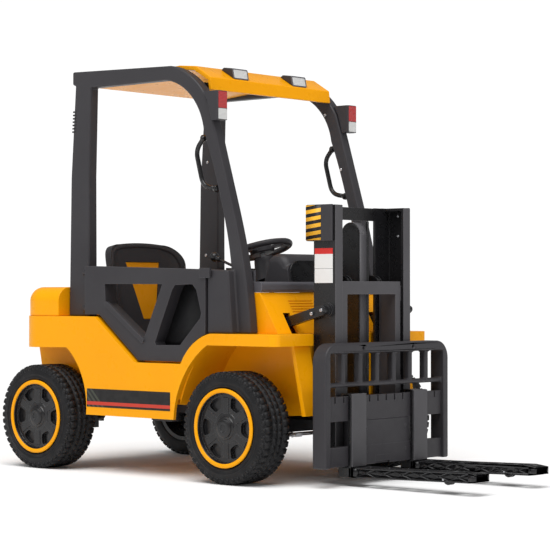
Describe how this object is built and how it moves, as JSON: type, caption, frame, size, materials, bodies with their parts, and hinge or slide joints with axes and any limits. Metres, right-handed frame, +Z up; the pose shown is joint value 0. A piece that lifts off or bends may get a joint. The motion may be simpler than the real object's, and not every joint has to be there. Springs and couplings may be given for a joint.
{
  "type": "ride-on toy forklift",
  "caption": "Child's electric ride-on forklift with a roofed cab, opening side doors, steered front wheels and a lifting fork carriage on a short mast.",
  "frame": {"origin": "on the floor, under the middle of the whole truck from tyre back to fork tips", "axes": "+X forward towards the forks, +Y to the driver's left, +Z up"},
  "size_m": [1.306, 0.6, 0.956],
  "materials": {
    "yellow_plastic": "glossy moulded yellow-orange plastic",
    "charcoal_plastic": "satin charcoal plastic",
    "grey_plastic": "satin mid-grey plastic",
    "black_plastic": "semi-gloss black plastic",
    "tyre_plastic": "moulded black tread",
    "lamp_lens": "red over clear lens plastic",
    "lamp_clear": "clear lamp plastic",
    "zinc_steel": "zinc plated steel",
    "black_steel": "black painted steel tube",
    "battery_case": "black battery case",
    "label_film": "printed film without lettering"
  },
  "bodies": {
    "truck": {"battery": "battery_case", "body_shell": "yellow_plastic", "cab_side_left": "charcoal_plastic", "cab_side_right": "charcoal_plastic", "chassis_frame": "black_steel", "column_housing": "charcoal_plastic", "control_box": "battery_case", "dash_cowl": "charcoal_plastic", "dash_shelf": "grey_plastic", "door_hinge_pins": "zinc_steel", "drive_gearboxes": "black_plastic", "frame_screws": "zinc_steel", "front_axle_beam": "black_steel", "front_bulkhead": "yellow_plastic", "grab_handle_left": "black_plastic", "grab_handle_right": "black_plastic", "lift_column": "black_plastic", "lift_motor": "black_plastic", "mast_caps": "charcoal_plastic", "mast_plates": "label_film", "mast_struts": "black_plastic", "outer_mast": "black_plastic", "rear_axle": "zinc_steel", "rear_cover": "yellow_plastic", "roof_cross_bar": "black_steel", "roof_lamps": "lamp_clear", "roof_panel": "yellow_plastic", "seat_back": "charcoal_plastic", "seat_back_inlay": "yellow_plastic", "seat_base": "charcoal_plastic", "side_lamp_housings": "charcoal_plastic", "side_lamp_lenses": "lamp_lens", "sill_decals": "label_film"},
    "rear_wheel_right": {"rear_tyre_right": "tyre_plastic", "rear_rim_right": "black_plastic"},
    "rear_wheel_left": {"rear_tyre_left": "tyre_plastic", "rear_rim_left": "black_plastic"},
    "front_wheel_right": {"front_tyre_right": "tyre_plastic", "front_rim_right": "black_plastic"},
    "front_wheel_left": {"front_tyre_left": "tyre_plastic", "front_rim_left": "black_plastic"},
    "knuckle_right": {"knuckle_right": "zinc_steel"},
    "door_right": {"door_right": "charcoal_plastic"},
    "fork_right": {"fork_right": "black_plastic"},
    "fork_roller_right": {"fork_roller_right": "black_plastic"},
    "chain_pulley_right": {"chain_pulley_right": "black_plastic"},
    "knuckle_left": {"knuckle_left": "zinc_steel"},
    "door_left": {"door_left": "charcoal_plastic"},
    "fork_left": {"fork_left": "black_plastic"},
    "fork_roller_left": {"fork_roller_left": "black_plastic"},
    "chain_pulley_left": {"chain_pulley_left": "black_plastic"},
    "tie_rod": {"tie_rod": "zinc_steel"},
    "steering": {"steering_wheel": "charcoal_plastic", "steering_shaft": "zinc_steel"},
    "carriage": {"inner_frame": "charcoal_plastic", "load_backrest": "charcoal_plastic", "fork_carrier": "charcoal_plastic"},
    "lift_lever": {"lift_lever": "black_plastic"},
    "accelerator_pedal": {"accelerator_pedal": "black_plastic"}
  },
  "joints": [
    {"name": "rear_wheel_right_spin", "type": "hinge", "parent": "truck", "child": "rear_wheel_right", "pos_m": [-0.528, -0.25, 0.125], "axis": [0, 1, 0], "continuous": true},
    {"name": "knuckle_right_steer", "type": "hinge", "parent": "truck", "child": "knuckle_right", "pos_m": [0.091, -0.185, 0.125], "axis": [0, 0, 1], "range_deg": [-17.5, 17.5]},
    {"name": "front_wheel_right_spin", "type": "hinge", "parent": "knuckle_right", "child": "front_wheel_right", "pos_m": [0.091, -0.25, 0.125], "axis": [0, 1, 0], "continuous": true},
    {"name": "door_right_hinge", "type": "hinge", "parent": "truck", "child": "door_right", "pos_m": [-0.395, -0.247, 0.43], "axis": [0, 0, -1], "range_deg": [0, 70]},
    {"name": "fork_right_slide", "type": "slide", "parent": "carriage", "child": "fork_right", "axis": [0, -1, 0], "range_m": [-0.04, 0.06]},
    {"name": "fork_roller_right_spin", "type": "hinge", "parent": "fork_right", "child": "fork_roller_right", "pos_m": [0.57, -0.1115, 0.031], "axis": [0, 1, 0], "continuous": true},
    {"name": "chain_pulley_right_spin", "type": "hinge", "parent": "carriage", "child": "chain_pulley_right", "pos_m": [0.233, -0.054, 0.441], "axis": [0, 1, 0], "continuous": true},
    {"name": "rear_wheel_left_spin", "type": "hinge", "parent": "truck", "child": "rear_wheel_left", "pos_m": [-0.528, 0.25, 0.125], "axis": [0, 1, 0], "continuous": true},
    {"name": "knuckle_left_steer", "type": "hinge", "parent": "truck", "child": "knuckle_left", "pos_m": [0.091, 0.185, 0.125], "axis": [0, 0, 1], "range_deg": [-17.5, 17.5]},
    {"name": "front_wheel_left_spin", "type": "hinge", "parent": "knuckle_left", "child": "front_wheel_left", "pos_m": [0.091, 0.25, 0.125], "axis": [0, 1, 0], "continuous": true},
    {"name": "door_left_hinge", "type": "hinge", "parent": "truck", "child": "door_left", "pos_m": [-0.395, 0.247, 0.43], "axis": [0, 0, 1], "range_deg": [0, 70]},
    {"name": "fork_left_slide", "type": "slide", "parent": "carriage", "child": "fork_left", "axis": [0, 1, 0], "range_m": [-0.04, 0.06]},
    {"name": "fork_roller_left_spin", "type": "hinge", "parent": "fork_left", "child": "fork_roller_left", "pos_m": [0.57, 0.1115, 0.031], "axis": [0, 1, 0], "continuous": true},
    {"name": "chain_pulley_left_spin", "type": "hinge", "parent": "carriage", "child": "chain_pulley_left", "pos_m": [0.233, 0.054, 0.441], "axis": [0, 1, 0], "continuous": true},
    {"name": "steering_wheel_turn", "type": "hinge", "parent": "truck", "child": "steering", "pos_m": [-0.06, 0, 0.525], "axis": [-0.2924, 0, 0.9563], "range_deg": [-30, 30]},
    {"name": "tie_rod_slide", "type": "slide", "parent": "truck", "child": "tie_rod", "axis": [0, 1, 0], "range_m": [-0.0181, 0.0181]},
    {"name": "carriage_lift", "type": "slide", "parent": "truck", "child": "carriage", "axis": [0, 0, 1], "range_m": [0, 0.115]},
    {"name": "lift_lever_tilt", "type": "hinge", "parent": "truck", "child": "lift_lever", "pos_m": [0.073, -0.192, 0.466], "axis": [0, 1, 0], "range_deg": [-10, 10], "stiffness_Nm_per_rad": 1},
    {"name": "accelerator_press", "type": "hinge", "parent": "truck", "child": "accelerator_pedal", "pos_m": [-0.021, -0.065, 0.185], "axis": [0, 1, 0], "range_deg": [0, 10], "stiffness_Nm_per_rad": 2, "springref_deg": -5.73}
  ],
  "couplings": [
    {"joint": "knuckle_right_steer", "follows": "steering_wheel_turn", "ratio": 0.582},
    {"joint": "knuckle_left_steer", "follows": "steering_wheel_turn", "ratio": 0.582},
    {"joint": "tie_rod_slide", "follows": "steering_wheel_turn", "m_per_rad": -0.034377}
  ]
}
